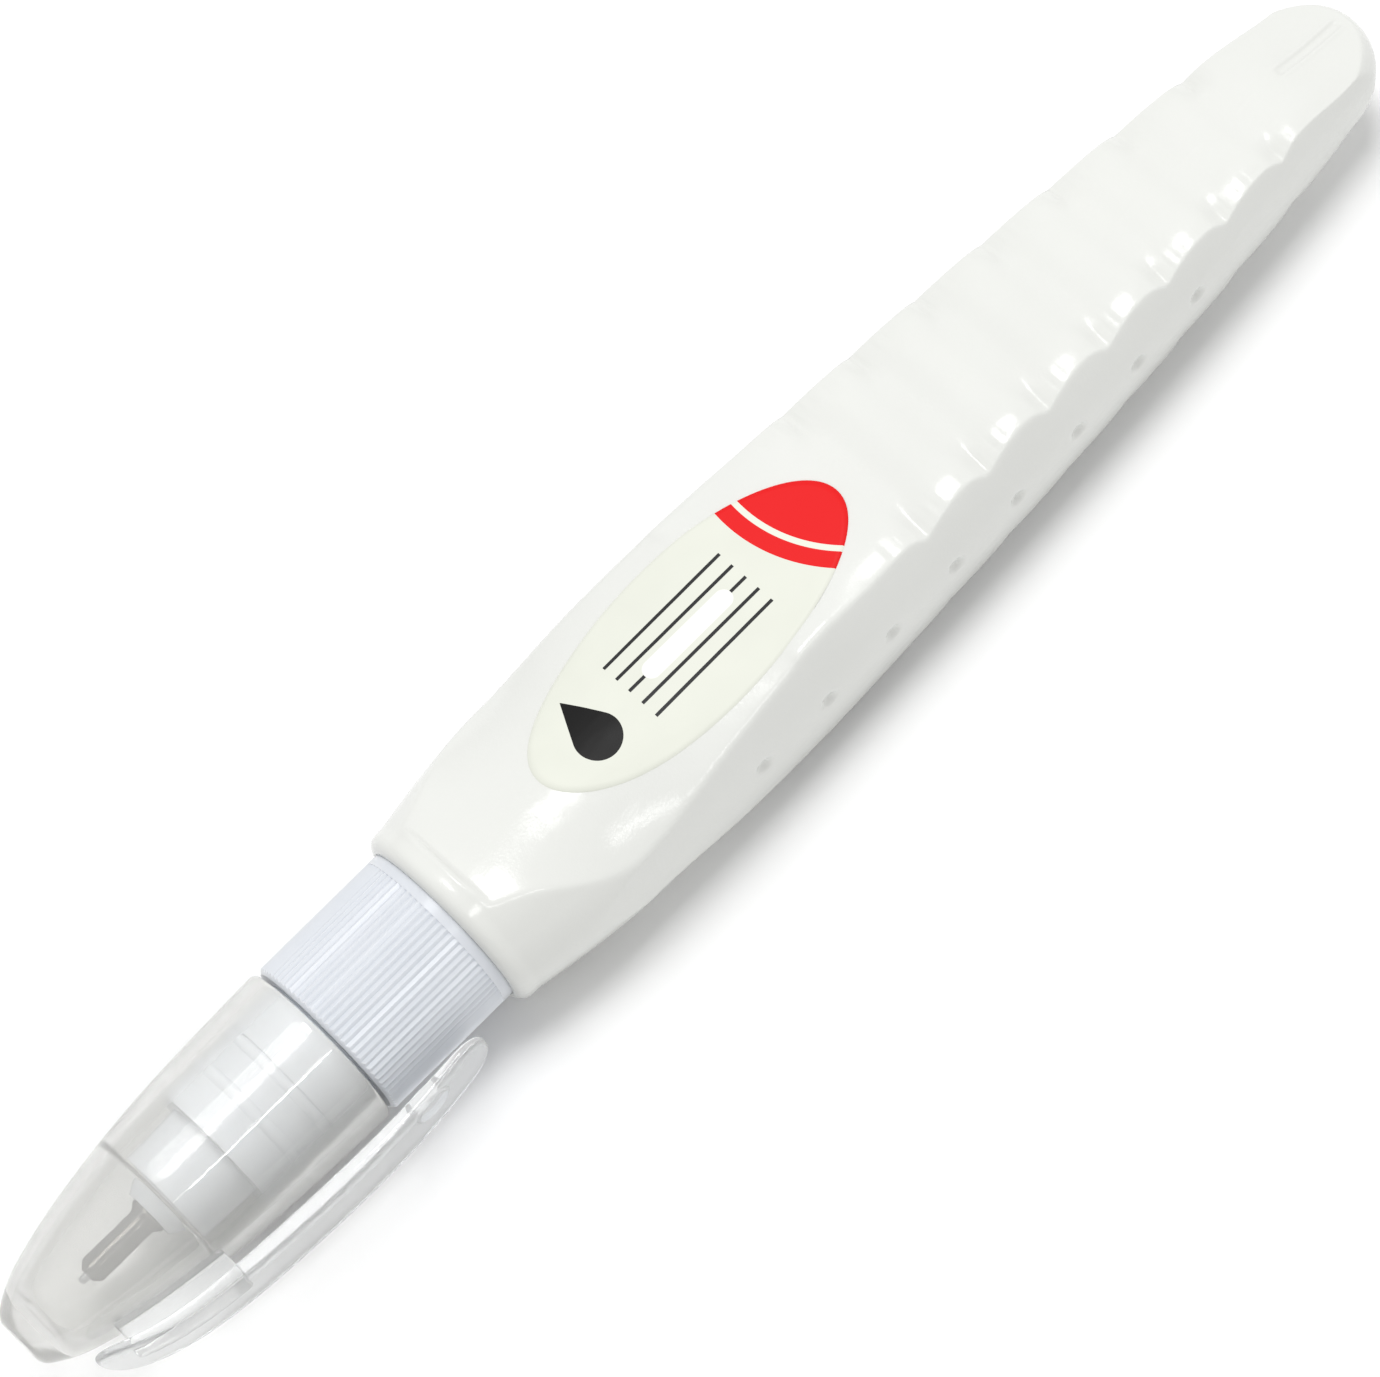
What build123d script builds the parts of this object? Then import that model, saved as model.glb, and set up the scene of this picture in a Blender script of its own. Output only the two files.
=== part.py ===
# Correction pen: a squeeze bottle, a nozzle with a sprung needle valve, and a clear cap with a clip.
# X runs along the pen from the cap's flat end to the bottle's tail, Z points out of the labelled face,
# and the clip is on the -Y side. All sizes are millimetres.

import math
import os

from build123d import *

# Shared fits
overrun = 1.0
press_clearance = 0.01
running_clearance = 0.06
seat_gap = 0.05

# Cap: a tapered moulding with a flat end, open at the rim
cap_length = 28.6
cap_end_radius = 2.05
cap_rim_radius = 6.65
cap_end_wall = 2.15
cap_nose_wall = 1.1
cap_nose_depth = 13.3
cap_nose_radius = 4.75
cap_nose_draft_share = 0.14
cap_hollow_end_share = 0.8
cap_end_edge = 0.35
cap_rim_edge = 0.3
cap_fit_clearance = 0.05
cap_tip_clearance = 3.6
cap_draft_share = 0.02
cap_outline_shares = ((0.70, 0.941), (0.30, 0.67), (0.126, 0.417))

# Clip: a bowed leaf on a web, moulded with the cap
clip_start = 2.65
clip_length = 33.5
clip_rise = 9.75
clip_width = 4.4
clip_thickness = 1.4
clip_edge = 0.35
clip_web_start = 5.2
clip_web_length = 8.6
clip_web_width = 1.8
clip_nub_centre = 30.6
clip_nub_face = 8.45
clip_nub_radius = 2.4
clip_nub_height = 0.75
clip_nub_width = 2.4
clip_nub_root = 0.35
clip_outer_shares = ((0.0, 0.58), (0.17, 0.85), (0.42, 0.97), (0.62, 1.0), (0.83, 0.965), (1.0, 0.895))
clip_thickness_shares = (0.5, 0.8, 1.0, 1.0, 0.8, 0.5)

# Nozzle: ribbed collar, stepped spigot for the cap, nose for the metal tip and plug for the bottle
rim_gap = 0.2
collar_radius = 6.55
collar_length = 11.25
collar_land = 0.8
collar_front_edge = 0.3
collar_rib_count = 76
collar_rib_depth = 0.13
spigot_root_radius = 5.22
spigot_root_length = 3.9
spigot_radius = 5.05
spigot_bead_count = 2
spigot_bead_height = 0.15
spigot_bead_width = 0.9
spigot_bead_pitch_share = 0.446
spigot_bead_offset = 0.4
nozzle_front_radius = 3.9
nozzle_front_taper = 0.15
nozzle_shoulder_radius = 2.9
nozzle_nose_radius = 1.9
nozzle_step_shares = (0.1137, 0.4902)
plug_radius = 5.6
plug_length = 6.5
plug_wall = 1.3
plug_lead = 0.6

# Metal tip: a turned tube with a flare that stops on the nozzle's nose
tip_flare_radius = 1.4
tip_flare_length = 0.65
tip_flare_edge = 0.2
tip_barrel_radius = 1.0
tip_barrel_length = 4.6
tip_nose_length = 0.45
tip_nose_radius = 0.55
tip_shank_radius = 1.2
tip_shank_length = 4.5
tip_bore_radius = 0.7
tip_orifice_length = 1.0

# Valve: a needle in a fluted rod, pushed forward by a spring that a ported plug holds in
needle_radius = 0.3
needle_reach = 0.7
needle_point_share = 0.9
needle_socket_depth = 3.0
rod_radius = 1.9
rod_length = 11.0
rod_flute_count = 4
rod_flute_radius = 0.7
rod_flute_offset = 0.25
rod_cone_length = 0.8
rod_pin_radius = 0.8
rod_pin_length = 2.0
spring_wire_radius = 0.17
spring_wire_sides = 8
spring_coil_radius = 1.4
spring_turns = 7
spring_pitch = 0.95
retainer_length = 3.0
retainer_bore_radius = 0.7
retainer_port_count = 4
retainer_port_radius = 0.55

# Bottle: a blown spindle with flattened sides and flat, grooved front and back faces
bottle_length = 90.0
bottle_wall = 1.0
bottle_half_depth = 6.27
bottle_half_width = 8.5
bottle_spindle_radius = 9.7
mouth_radius = 7.6
mouth_lip_radius = 1.0
mouth_band = 1.6
mouth_recess_depth = 0.9
side_bow_radius = 600.0
side_section_height = 8.0
side_lean_front_share = 0.03
side_lean_tail_share = 0.52
front_section_width = 9.0
front_lip_height = 8.4
front_lip_edge_height = 7.2
front_panel_start = 1.95
front_panel_step = 0.35
envelope_radius = 560.0
groove_count = 7
groove_depth = 0.95
groove_crest_share = 0.685
tail_plateau = 2.4
tail_dome_length = 6.5
tail_dome_radius = 5.3
dimple_count = 8
dimple_radius = 0.7
dimple_depth = 0.25
mouth_flare_share = 0.18
spindle_shares = ((0.148, 0.923), (0.388, 1.0), (0.555, 0.955), (0.766, 0.80))
tail_shoulder_share = 0.77
front_panel_shares = (
    (0.050, 1.08, 0.74),
    (0.085, 1.035, 0.55),
    (0.130, 1.0, 0.395),
    (0.180, 1.0, 0.50),
    (0.240, 1.0, 0.74),
    (0.310, 1.0, 0.93),
)
front_step_shares = (1.10, 0.73)
tail_shares = ((0.949, 0.455), (1.02, 0.26))
tail_slope_share = 0.6
cavity_throat_radius = 4.8
cavity_shares = (0.25, 0.5, 0.75, 0.92)
belly_share = 0.1667
envelope_start_share = 0.3333
groove_start_share = 0.4561
groove_pitch_share = 0.06844
dimple_start_share = 0.2533
dimple_pitch_share = 0.07122

# Label: an oval sticker on the front face
label_length_share = 0.3178
label_width = 12.0
label_thickness = 0.1
label_centre_share = 0.2778
label_offset = -0.3

# Mixing ball, loose in the bottle
ball_radius = 2.0
ball_start = 16.0
ball_clearance = 0.3

# Places along the pen
needle_x = cap_end_wall + cap_tip_clearance
tip_front_x = needle_x + needle_reach
barrel_x = tip_front_x + tip_nose_length + tip_barrel_length
nose_x = barrel_x + tip_flare_length
collar_x = cap_length + rim_gap
root_x = collar_x - spigot_root_length
shoulder_x, step_x = [nose_x + share * (root_x - nose_x) for share in nozzle_step_shares]
spigot_bead_pitch = spigot_bead_pitch_share * (root_x - step_x)
mouth_x = collar_x + collar_length
recess_x = mouth_x + mouth_recess_depth
plug_x = recess_x + plug_length
tail_x = mouth_x + bottle_length
belly_x = mouth_x + belly_share * bottle_length
envelope_x = mouth_x + envelope_start_share * bottle_length
groove_x = mouth_x + groove_start_share * bottle_length
groove_pitch = groove_pitch_share * bottle_length
dimple_start_x = mouth_x + dimple_start_share * bottle_length
dimple_pitch = dimple_pitch_share * bottle_length
label_x = mouth_x + label_centre_share * bottle_length
label_length = label_length_share * bottle_length
shank_x = nose_x + tip_shank_length
rod_x = shank_x + seat_gap
spring_x = rod_x + rod_length
spring_length = spring_turns * spring_pitch + 2 * spring_wire_radius + 2 * seat_gap
retainer_x = spring_x + spring_length
chamber_x = retainer_x + retainer_length
chamber_radius = rod_radius + running_clearance
cap_bore_radius = max(spigot_root_radius, spigot_radius + spigot_bead_height) + cap_fit_clearance
ball_height = ball_radius + ball_clearance + bottle_wall + groove_depth - bottle_half_depth

os.makedirs("parts", exist_ok=True)


def along_bottle(share):
    """Place on the pen's axis at a share of the bottle's length."""
    return mouth_x + share * bottle_length


def side_half_width(x):
    """Half width of the bottle's side wall at mid depth."""
    return bottle_half_width - (x - belly_x) ** 2 / (2 * side_bow_radius)


def side_lean_share(x):
    """How far the side wall leans in at the side section height, as a share of its half width."""
    way = (x - mouth_x) / bottle_length
    return side_lean_front_share + (side_lean_tail_share - side_lean_front_share) * way


def envelope(x):
    """Height of the front face's crests over the mid plane."""
    way = max(x - envelope_x, 0)
    return bottle_half_depth - way**2 / (2 * envelope_radius)


def tangent_arcs(heading, *points):
    """A smooth run of arcs through the points, setting out in the given direction."""
    for start, end in zip(points, points[1:]):
        heading = TangentArc(start, end, tangent=heading) % 1


def face_outline(side, edge_share, inset):
    """One face's outline from the mouth to the tail, on the front (1) or the back (-1)."""
    panel_x = mouth_x + front_panel_start
    first_crest_x = groove_x - (1 - groove_crest_share) * groove_pitch
    plateau_x = groove_x + (groove_count - 1) * groove_pitch + tail_plateau
    lip_height = front_lip_height + edge_share * (front_lip_edge_height - front_lip_height)

    def at(x, z):
        return (x, side * z)

    def between(middle, edge):
        return (middle + edge_share * (edge - middle)) * bottle_half_depth - inset

    def slope(x):
        return -side * max(x - envelope_x, 0) / envelope_radius

    # Lip, the small step behind it, and the panel that dips towards the sides
    lip_end = at(panel_x, lip_height)
    step_end = at(panel_x + front_panel_step, between(*front_step_shares))
    panel = [at(along_bottle(x), between(middle, edge)) for x, middle, edge in front_panel_shares]
    Line(at(mouth_x - overrun, lip_height), lip_end)
    Line(lip_end, step_end)
    tail = [at(along_bottle(x), z * bottle_half_depth - inset) for x, z in tail_shares]
    tail_tangent = (1, -side * tail_slope_share)
    # Finger grooves: an arc down from each crest to the cusp, and one up to the next crest
    crest = at(first_crest_x, envelope(first_crest_x) - inset)
    Spline(step_end, *panel, crest, tangents=((1, 0), (1, slope(first_crest_x))))
    for groove in range(groove_count):
        cusp_x = groove_x + groove * groove_pitch
        cusp = at(cusp_x, envelope(cusp_x) - groove_depth - inset)
        TangentArc(crest, cusp, tangent=(1, slope(crest[0])))
        next_x = cusp_x + groove_crest_share * groove_pitch if groove < groove_count - 1 else plateau_x
        crest = at(next_x, envelope(next_x) - inset)
        TangentArc(crest, cusp, tangent=(-1, -slope(next_x)))
    Spline(crest, *tail, tangents=((1, slope(plateau_x)), tail_tangent))
    return tail[-1]


def moulded_form(inset):
    """The bottle's form, moved in by inset: a turned blank with flattened sides and grooved faces."""
    belly = [(along_bottle(x), y * bottle_spindle_radius - inset) for x, y in spindle_shares]
    mouth_height = mouth_radius - inset
    dome = (tail_x - tail_dome_length, tail_dome_radius - inset)
    shoulder_height = dome[1] * math.sqrt(1 - tail_shoulder_share**2)
    shoulder = (dome[0] + tail_shoulder_share * (tail_dome_length - inset), shoulder_height)
    bow_places = (mouth_x - overrun, (mouth_x + tail_x) / 2, tail_x + overrun)
    with BuildPart() as form:
        # Turned blank: round mouth, full belly and domed tail
        with BuildSketch():
            with BuildLine():
                Polyline((mouth_x, 0), (mouth_x, mouth_height), (mouth_x + mouth_band, mouth_height))
                tangent_arcs((1, mouth_flare_share), (mouth_x + mouth_band, mouth_height), *belly, dome)
                tangent_arcs((1, 0), dome, shoulder, (tail_x - inset, 0))
                Line((tail_x - inset, 0), (mouth_x, 0))
            make_face()
        revolve(axis=Axis.X)
        fillet(form.edges().filter_by(GeomType.CIRCLE).sort_by(Axis.X)[0], mouth_lip_radius)
        # Bowed side walls, leaning in towards the front and the back face
        for height in (-side_section_height, 0, side_section_height):
            bow = []
            for x in bow_places:
                lean = side_lean_share(x) * (height / side_section_height) ** 2
                bow.append((x, side_half_width(x) * (1 - lean) - inset))
            bow[1] = (bow[1][0], 2 * bow[1][1] - (bow[0][1] + bow[2][1]) / 2)
            with BuildSketch(Plane.XY.offset(height)):
                with BuildLine():
                    left = Bezier(*bow)
                    right = Bezier(*[(x, -y) for x, y in bow])
                    Line(left @ 0, right @ 0)
                    Line(left @ 1, right @ 1)
                make_face()
        loft(mode=Mode.INTERSECT)
        # Front and back faces, with the finger grooves towards the tail
        for width in (-front_section_width, 0, front_section_width):
            edge_share = (width / front_section_width) ** 2
            with BuildSketch(Plane.XZ.offset(width)):
                with BuildLine() as outline:
                    front_end = face_outline(1, edge_share, inset)
                    back_end = face_outline(-1, edge_share, inset)
                    Line(front_end, back_end)
                    mouth_ends = outline.vertices().sort_by(Axis.X)[:2]
                    Line(mouth_ends[0].center(), mouth_ends[1].center())
                make_face()
        loft(mode=Mode.INTERSECT)
    return form.part


# Bottle cavity: one wall in from the sides and from the bottoms of the grooves, with a round throat
cavity_places = [along_bottle(share) for share in cavity_shares]
cavity_widths = [(x, side_half_width(x) - bottle_wall) for x in cavity_places]
cavity_depths = [(x, envelope(x) - groove_depth - bottle_wall) for x in cavity_places]
with BuildPart() as cavity:
    with BuildSketch(Plane.XY.offset(-bottle_half_depth)):
        Polygon(*cavity_widths, *[(x, -y) for x, y in reversed(cavity_widths)], align=None)
    extrude(amount=2 * bottle_half_depth)
    with BuildSketch(Plane.XZ.offset(-bottle_half_width)):
        Polygon(*cavity_depths, *[(x, -z) for x, z in reversed(cavity_depths)], align=None)
    extrude(amount=2 * bottle_half_width, mode=Mode.INTERSECT)
    with BuildSketch(Plane.YZ.offset(plug_x)):
        Circle(cavity_throat_radius)
    extrude(amount=cavity_places[0] - plug_x + overrun)

with BuildPart() as bottle:
    add(moulded_form(0))
    add(cavity.part, mode=Mode.SUBTRACT)
    # Neck bore for the nozzle's plug, and the recess that takes the foot of its collar
    with BuildSketch(Plane.YZ.offset(mouth_x)):
        Circle(plug_radius + press_clearance)
    extrude(amount=mouth_recess_depth + plug_length + overrun, mode=Mode.SUBTRACT)
    with BuildSketch(Plane.YZ.offset(mouth_x)):
        Circle(collar_radius + running_clearance)
    extrude(amount=mouth_recess_depth, mode=Mode.SUBTRACT)
    # Row of round dimples along the middle of each side wall
    dimple_ball_radius = (dimple_radius**2 + dimple_depth**2) / (2 * dimple_depth)
    for dimple in range(dimple_count):
        dimple_x = dimple_start_x + dimple * dimple_pitch
        reach = side_half_width(dimple_x) - dimple_depth + dimple_ball_radius
        with Locations((dimple_x, reach, 0), (dimple_x, -reach, 0)):
            Sphere(dimple_ball_radius, mode=Mode.SUBTRACT)
bottle.part.label = "bottle"
export_step(bottle.part, "parts/bottle.step")

# Label: the front face's own surface, one sticker's thickness proud, cut to an oval
with BuildPart() as front_label:
    with BuildSketch(Plane.XY):
        with Locations((label_x, label_offset)):
            Ellipse(label_length / 2, label_width / 2)
    extrude(amount=bottle_spindle_radius)
    add(moulded_form(-label_thickness), mode=Mode.INTERSECT)
    add(moulded_form(0), mode=Mode.SUBTRACT)
front_label.part.label = "front_label"
export_step(front_label.part, "parts/front_label.step")

# Nozzle: one turned outline from the nose to the plug, ribs round the collar, and the valve's chamber
with BuildPart() as nozzle_collar:
    with BuildSketch():
        with BuildLine():
            Polyline(
                (nose_x, 0),
                (nose_x, nozzle_nose_radius),
                (shoulder_x, nozzle_shoulder_radius),
                (shoulder_x, nozzle_front_radius - nozzle_front_taper),
                (step_x, nozzle_front_radius),
                (step_x, spigot_radius),
                (root_x, spigot_radius),
                (root_x, spigot_root_radius),
                (collar_x, spigot_root_radius),
                (collar_x, collar_radius - collar_front_edge),
                (collar_x + collar_front_edge, collar_radius),
                (recess_x, collar_radius),
                (recess_x, plug_radius),
                (plug_x - plug_lead, plug_radius),
                (plug_x, plug_radius - plug_lead),
                (plug_x, 0),
                close=True,
            )
        make_face()
    revolve(axis=Axis.X)
    # Fine ribs that run along the collar and stop at a plain band by the bottle
    with BuildSketch(Plane.YZ.offset(collar_x)):
        Circle(collar_radius + overrun)
        with BuildLine():
            rib_corners = []
            for rib in range(collar_rib_count):
                for turn_share, depth in ((0, 0), (0.5, collar_rib_depth)):
                    turn = 2 * math.pi * (rib + turn_share) / collar_rib_count
                    radius = collar_radius - depth
                    rib_corners.append((radius * math.cos(turn), radius * math.sin(turn)))
            Polyline(*rib_corners, close=True)
        make_face(mode=Mode.SUBTRACT)
    extrude(amount=collar_length - collar_land, mode=Mode.SUBTRACT)
    # Round beads that grip the cap
    for bead in range(spigot_bead_count):
        bead_x = root_x - spigot_bead_offset - bead * spigot_bead_pitch
        bead_radius = (spigot_bead_width**2 / 4 + spigot_bead_height**2) / (2 * spigot_bead_height)
        with BuildSketch():
            with BuildLine():
                ThreePointArc(
                    (bead_x - spigot_bead_width / 2, spigot_radius),
                    (bead_x, spigot_radius + spigot_bead_height),
                    (bead_x + spigot_bead_width / 2, spigot_radius),
                )
                Polyline(
                    (bead_x + spigot_bead_width / 2, spigot_radius),
                    (bead_x + spigot_bead_width / 2, spigot_radius - spigot_bead_height),
                    (bead_x - spigot_bead_width / 2, spigot_radius - spigot_bead_height),
                    (bead_x - spigot_bead_width / 2, spigot_radius),
                )
            make_face()
        revolve(axis=Axis.X)
    # Bores: tip shank, valve chamber and the hollow of the plug
    for bore_x, bore_radius in (
        (nose_x - overrun, tip_shank_radius + press_clearance),
        (shank_x, chamber_radius),
        (chamber_x, plug_radius - plug_wall),
    ):
        with BuildSketch(Plane.YZ.offset(bore_x)):
            Circle(bore_radius)
        extrude(amount=plug_x + overrun - bore_x, mode=Mode.SUBTRACT)
nozzle_collar.part.label = "nozzle_collar"
export_step(nozzle_collar.part, "parts/nozzle_collar.step")

# Metal tip: turned tube, flared where it stops on the nozzle and drawn in to the needle's orifice
with BuildPart() as metal_tip:
    orifice_radius = needle_radius + running_clearance
    with BuildSketch():
        with BuildLine():
            Polyline(
                (tip_front_x, orifice_radius),
                (tip_front_x, tip_nose_radius),
                (tip_front_x + tip_nose_length, tip_barrel_radius),
                (barrel_x, tip_barrel_radius),
                (nose_x - tip_flare_edge, tip_flare_radius),
                (nose_x, tip_flare_radius),
                (nose_x, tip_shank_radius),
                (shank_x, tip_shank_radius),
                (shank_x, tip_bore_radius),
                (tip_front_x + tip_orifice_length, tip_bore_radius),
                (tip_front_x + tip_orifice_length, orifice_radius),
                close=True,
            )
        make_face()
    revolve(axis=Axis.X)
metal_tip.part.label = "metal_tip"
export_step(metal_tip.part, "parts/metal_tip.step")

# Valve needle: a wire with a rounded point, held in the rod
with BuildPart() as valve_needle:
    with BuildSketch(Plane.YZ.offset(needle_x)):
        Circle(needle_radius)
    extrude(amount=rod_x + needle_socket_depth - needle_x)
    fillet(valve_needle.edges().sort_by(Axis.X)[0], needle_radius * needle_point_share)
valve_needle.part.label = "valve_needle"
export_step(valve_needle.part, "parts/valve_needle.step")

# Valve rod: a fluted slider with a sealing cone, a socket for the needle and a pin inside the spring
with BuildPart() as valve_rod:
    with BuildSketch():
        with BuildLine():
            Polyline(
                (rod_x, 0),
                (rod_x, tip_bore_radius + seat_gap),
                (rod_x + rod_cone_length, rod_radius),
                (rod_x + rod_length, rod_radius),
                (rod_x + rod_length, rod_pin_radius),
                (rod_x + rod_length + rod_pin_length, rod_pin_radius),
                (rod_x + rod_length + rod_pin_length, 0),
                close=True,
            )
        make_face()
    revolve(axis=Axis.X)
    with BuildSketch(Plane.YZ.offset(rod_x)):
        with PolarLocations(rod_radius + rod_flute_offset, rod_flute_count):
            Circle(rod_flute_radius)
    extrude(amount=rod_length, mode=Mode.SUBTRACT)
    with BuildSketch(Plane.YZ.offset(rod_x)):
        Circle(needle_radius + press_clearance)
    extrude(amount=needle_socket_depth, mode=Mode.SUBTRACT)
valve_rod.part.label = "valve_rod"
export_step(valve_rod.part, "parts/valve_rod.step")


def coil_point(turn):
    """Point on the spring's centre line after so many turns, with its direction there."""
    angle = 2 * math.pi * turn
    start = spring_x + seat_gap + spring_wire_radius
    across = spring_coil_radius * math.cos(angle)
    up = spring_coil_radius * math.sin(angle)
    point = Vector(start + turn * spring_pitch, across, up)
    heading = Vector(spring_pitch / (2 * math.pi), -up, across)
    return point, heading.normalized()


# Valve spring: one wound wire, drawn as pairs of tangent arcs for each half turn
with BuildPart() as valve_spring:
    with BuildLine() as coil:
        for half_turn in range(2 * spring_turns):
            start, start_heading = coil_point(half_turn / 2)
            end, end_heading = coil_point((half_turn + 1) / 2)
            chord = end - start
            spread = 2 * (1 - start_heading.dot(end_heading))
            lean = 2 * chord.dot(start_heading + end_heading)
            reach = (math.sqrt(lean**2 + 4 * spread * chord.dot(chord)) - lean) / (2 * spread)
            middle = (start + end + (start_heading - end_heading) * reach) * 0.5
            first_arc = TangentArc(start, middle, tangent=start_heading)
            TangentArc(middle, end, tangent=first_arc % 1)
    with BuildSketch(Plane(coil.line @ 0, z_dir=coil.line % 0)):
        RegularPolygon(spring_wire_radius, spring_wire_sides)
    sweep(path=coil.line)
valve_spring.part.label = "valve_spring"
export_step(valve_spring.part, "parts/valve_spring.step")
print(f"gap between the spring's turns: {spring_pitch - 2 * spring_wire_radius:.2f} mm")

# Spring retainer: a ported plug pressed into the back of the chamber
with BuildPart() as spring_retainer:
    with BuildSketch(Plane.YZ.offset(retainer_x)):
        Circle(chamber_radius - press_clearance)
        Circle(retainer_bore_radius, mode=Mode.SUBTRACT)
        with PolarLocations(chamber_radius, retainer_port_count):
            Circle(retainer_port_radius, mode=Mode.SUBTRACT)
    extrude(amount=retainer_length)
spring_retainer.part.label = "spring_retainer"
export_step(spring_retainer.part, "parts/spring_retainer.step")

# Mixing ball
with BuildPart() as mixing_ball:
    with Locations((mouth_x + ball_start, 0, ball_height)):
        Sphere(ball_radius)
mixing_ball.part.label = "mixing_ball"
export_step(mixing_ball.part, "parts/mixing_ball.step")

# Clip leaf: bowed, thinner towards both rounded ends, with its outer edges eased
clip_outer = [(clip_start + x * clip_length, -y * clip_rise) for x, y in clip_outer_shares]
clip_inner = [(x, y + clip_thickness * share) for (x, y), share in zip(clip_outer, clip_thickness_shares)]
with BuildPart() as clip_leaf:
    with BuildSketch(Plane.XY.offset(-clip_width / 2)):
        with BuildLine():
            outer_edge = Spline(*clip_outer)
            inner_edge = Spline(*clip_inner)
            Line(outer_edge @ 0, inner_edge @ 0)
            Line(outer_edge @ 1, inner_edge @ 1)
        make_face()
    extrude(amount=clip_width)
    with BuildSketch(Plane.XZ):
        with Locations((clip_start + clip_length / 2, 0)):
            SlotOverall(clip_length, clip_width)
    extrude(amount=clip_rise + overrun, mode=Mode.INTERSECT)
    chamfer(clip_leaf.faces().sort_by(Axis.Y)[0].edges(), clip_edge)

# Cap: a tapered shell, the clip on its web, and the hollow and bore that leave the wall
with BuildPart() as cap:
    cap_spread = cap_rim_radius - cap_end_radius
    shell = [(x * cap_length, cap_end_radius + y * cap_spread) for x, y in cap_outline_shares]
    with BuildSketch():
        with BuildLine():
            rim = (cap_length, cap_rim_radius)
            end = (0, cap_end_radius)
            tangent_arcs((-1, -cap_draft_share), rim, *shell, end)
            Polyline(end, (0, 0), (cap_length, 0), rim)
        make_face()
    revolve(axis=Axis.X)
    chamfer(cap.edges().filter_by(GeomType.CIRCLE).sort_by(Axis.X)[0], cap_end_edge)
    chamfer(cap.edges().filter_by(GeomType.CIRCLE).sort_by(Axis.X)[-1], cap_rim_edge)
    add(clip_leaf.part)
    # Web between the clip's middle and the shell
    clip_middle = [(x, (outer_y + inner_y) / 2) for (x, outer_y), (_, inner_y) in zip(clip_outer, clip_inner)]
    with BuildSketch(Plane.XY.offset(-clip_web_width / 2)):
        with BuildLine():
            web_edge = Spline(*clip_middle)
            Polyline(web_edge @ 0, (clip_middle[0][0], 0), (clip_middle[-1][0], 0), web_edge @ 1)
        make_face()
        with Locations((clip_web_start, 0)):
            Rectangle(
                clip_web_length, 2 * clip_rise, align=(Align.MIN, Align.CENTER), mode=Mode.INTERSECT
            )
    extrude(amount=clip_web_width)
    # Rounded nub that holds a pocket's edge
    with BuildSketch(Plane.XY.offset(-clip_nub_width / 2)):
        with Locations((clip_nub_centre, -clip_nub_face + clip_nub_height - clip_nub_radius)):
            Circle(clip_nub_radius)
        with Locations((clip_nub_centre, -clip_nub_face - clip_nub_root)):
            Rectangle(
                2 * clip_nub_radius,
                2 * clip_nub_radius,
                align=(Align.CENTER, Align.MAX),
                mode=Mode.SUBTRACT,
            )
    extrude(amount=clip_nub_width)
    # Pointed hollow over the tip, and the bore that slides on the spigot
    hollow_mouth = (cap_nose_depth, cap_nose_radius)
    hollow_end = (cap_end_wall, cap_end_radius * cap_hollow_end_share)
    hollow = [(x, y - cap_nose_wall) for x, y in shell[1:]]
    with BuildSketch():
        with BuildLine():
            tangent_arcs((-1, -cap_nose_draft_share), hollow_mouth, *hollow, hollow_end)
            Polyline(hollow_end, (cap_end_wall, 0), (cap_nose_depth, 0), hollow_mouth)
        make_face()
    revolve(axis=Axis.X, mode=Mode.SUBTRACT)
    with BuildSketch(Plane.YZ.offset(cap_length)):
        Circle(cap_bore_radius)
    extrude(amount=cap_nose_depth - cap_length, mode=Mode.SUBTRACT)
cap.part.label = "cap"
export_step(cap.part, "parts/cap.step")
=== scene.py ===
import math

import bpy
import numpy as np
from mathutils import Matrix, Vector
from mathutils.bvhtree import BVHTree


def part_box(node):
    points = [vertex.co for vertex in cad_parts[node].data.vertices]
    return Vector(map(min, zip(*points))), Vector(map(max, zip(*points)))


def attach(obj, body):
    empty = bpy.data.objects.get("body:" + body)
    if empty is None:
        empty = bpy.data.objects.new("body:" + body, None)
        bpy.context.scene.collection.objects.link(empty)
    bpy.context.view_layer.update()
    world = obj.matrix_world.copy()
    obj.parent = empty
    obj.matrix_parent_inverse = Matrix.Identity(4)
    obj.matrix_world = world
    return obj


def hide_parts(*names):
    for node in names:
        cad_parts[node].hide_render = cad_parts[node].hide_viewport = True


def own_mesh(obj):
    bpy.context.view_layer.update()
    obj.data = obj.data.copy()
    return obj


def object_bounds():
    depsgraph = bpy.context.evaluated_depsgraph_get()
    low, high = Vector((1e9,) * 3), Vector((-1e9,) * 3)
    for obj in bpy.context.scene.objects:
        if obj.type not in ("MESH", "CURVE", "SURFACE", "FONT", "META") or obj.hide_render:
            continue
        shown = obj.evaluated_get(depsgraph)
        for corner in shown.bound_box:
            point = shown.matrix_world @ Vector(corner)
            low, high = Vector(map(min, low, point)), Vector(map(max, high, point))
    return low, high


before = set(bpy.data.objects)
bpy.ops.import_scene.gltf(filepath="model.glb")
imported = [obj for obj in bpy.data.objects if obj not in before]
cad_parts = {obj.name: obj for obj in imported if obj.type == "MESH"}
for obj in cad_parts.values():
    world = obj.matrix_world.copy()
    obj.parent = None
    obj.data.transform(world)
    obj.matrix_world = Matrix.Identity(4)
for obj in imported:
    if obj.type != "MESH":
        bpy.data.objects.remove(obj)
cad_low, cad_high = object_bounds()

# Bottle: a squeeze bottle blown from white low-density polyethylene in a two-part mould.
# The skin keeps the mould's fine blasting, a parting line runs along the front and back middle,
# and the pinch-off leaves a scar at the tail. The nozzle is pressed into its mouth.
MM = 0.001


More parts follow.
